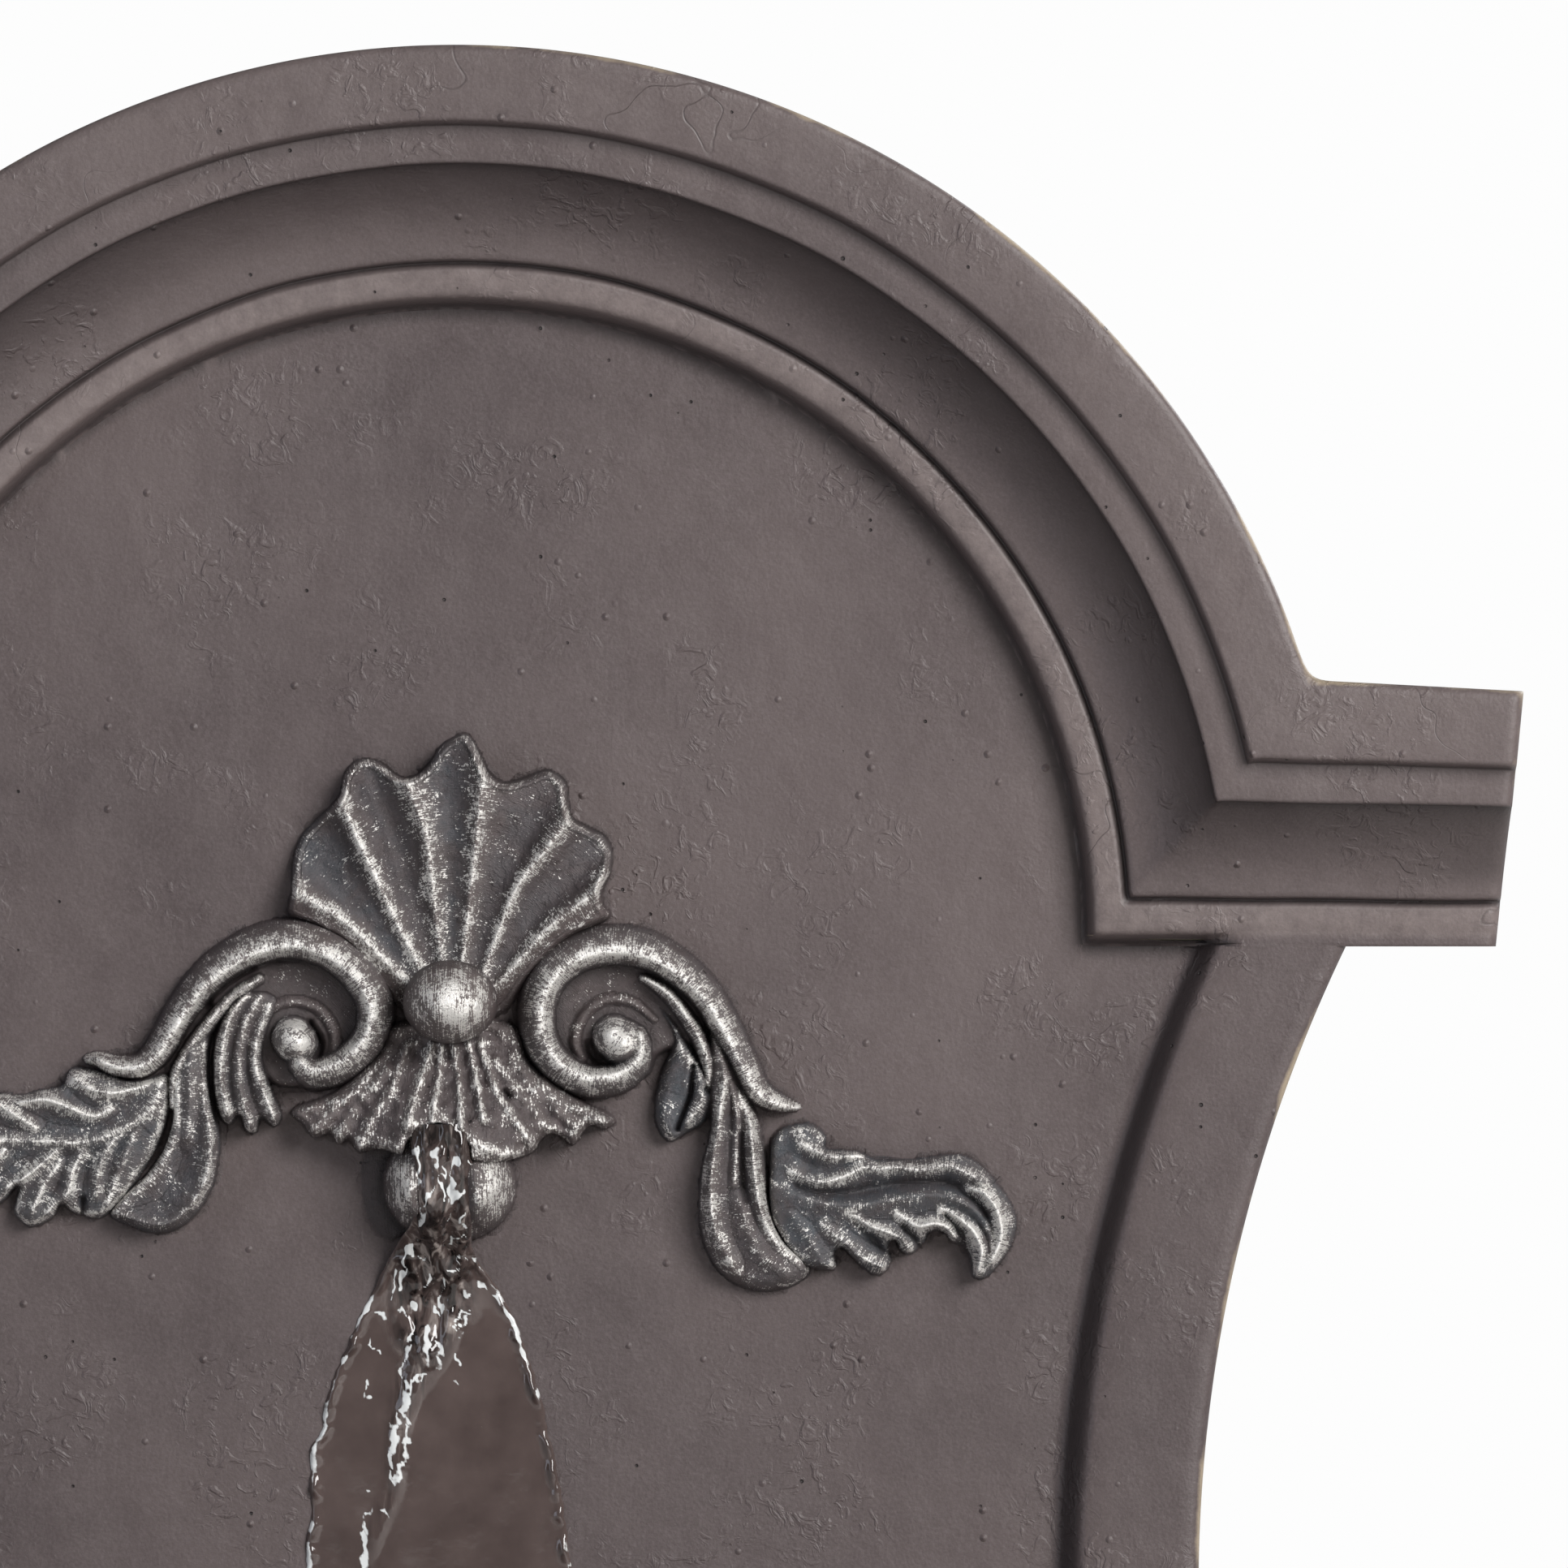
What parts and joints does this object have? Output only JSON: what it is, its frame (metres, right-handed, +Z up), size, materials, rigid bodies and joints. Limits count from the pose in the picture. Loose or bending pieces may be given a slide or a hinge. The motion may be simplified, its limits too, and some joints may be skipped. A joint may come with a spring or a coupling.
{
  "type": "wall fountain",
  "caption": "Arched wall fountain with a carved shell, scrolls and spouting lip over a half-round basin with a submersible pump.",
  "frame": {"origin": "centre of the arched top on the wall plane, on the back of the hanging rib", "axes": "+X to the right seen from the front, -Y towards the viewer, +Z up; the wall plane is Y = 0"},
  "size_m": [0.5248, 0.234, 0.6985],
  "materials": {
    "cast_panel": "cast stone, dark taupe antique paint",
    "carved_cast": "cast stone, silver dry-brushed over dark brown",
    "foam_rubber": "closed-cell foam, matt",
    "black_rubber": "matt",
    "zinc_steel": "zinc plated",
    "insert_brass": "turned",
    "vinyl_tube": "clear vinyl",
    "fitting_plastic": "moulded",
    "pump_plastic": "moulded",
    "lamination_steel": "varnished laminations",
    "coil_copper": "enamelled winding",
    "ferrite": "sintered",
    "shaft_ceramic": "ground",
    "impeller_plastic": "moulded"
  },
  "bodies": {
    "fountain": {"back_panel": "cast_panel", "basin": "cast_panel", "basin_back": "cast_panel", "basin_gasket": "foam_rubber", "basin_bolts": "zinc_steel", "basin_washers": "zinc_steel", "basin_inserts": "insert_brass", "hanger_plates": "zinc_steel", "hanger_screws": "zinc_steel", "supply_elbow": "fitting_plastic", "spout_elbow": "fitting_plastic", "hose_grommet": "black_rubber", "cord_grommet": "black_rubber", "spout_grommet": "black_rubber", "supply_hose_upper": "vinyl_tube", "supply_hose_lower": "vinyl_tube", "hose_clips": "fitting_plastic", "clip_screws": "zinc_steel", "pump_housing": "pump_plastic", "pump_rear_plate": "pump_plastic", "suction_cups": "black_rubber", "cable_gland": "black_rubber", "stator_core": "lamination_steel", "stator_coil": "coil_copper", "rear_bush": "black_rubber", "impeller_shaft": "shaft_ceramic", "volute_cover": "pump_plastic", "front_bush": "black_rubber", "cover_o_ring": "black_rubber", "outlet_adapter": "pump_plastic", "centre_boss": "carved_cast", "shell_crest": "carved_cast", "right_scroll": "carved_cast", "left_scroll": "carved_cast", "right_leaf_spray": "carved_cast", "left_leaf_spray": "carved_cast", "spout_apron": "carved_cast", "spout_lip": "carved_cast"},
    "rotor": {"impeller": "impeller_plastic", "rotor_magnet": "ferrite"},
    "intake": {"intake_cover": "pump_plastic"},
    "regulator": {"flow_regulator": "pump_plastic"},
    "plug": {"drain_plug": "black_rubber"}
  },
  "joints": [
    {"name": "impeller_spin", "type": "hinge", "parent": "fountain", "child": "rotor", "pos_m": [-0.0025, -0.085, -0.342], "axis": [0, -1, 0], "continuous": true},
    {"name": "intake_cover_pull", "type": "slide", "parent": "fountain", "child": "intake", "axis": [0, -1, 0], "range_m": [0, 0.025]},
    {"name": "regulator_turn", "type": "hinge", "parent": "intake", "child": "regulator", "pos_m": [-0.0025, -0.121, -0.338], "axis": [0, -1, 0], "range_deg": [0, 90]},
    {"name": "drain_plug_pull", "type": "slide", "parent": "fountain", "child": "plug", "axis": [0, 0, 1], "range_m": [0, 0.14]}
  ]
}
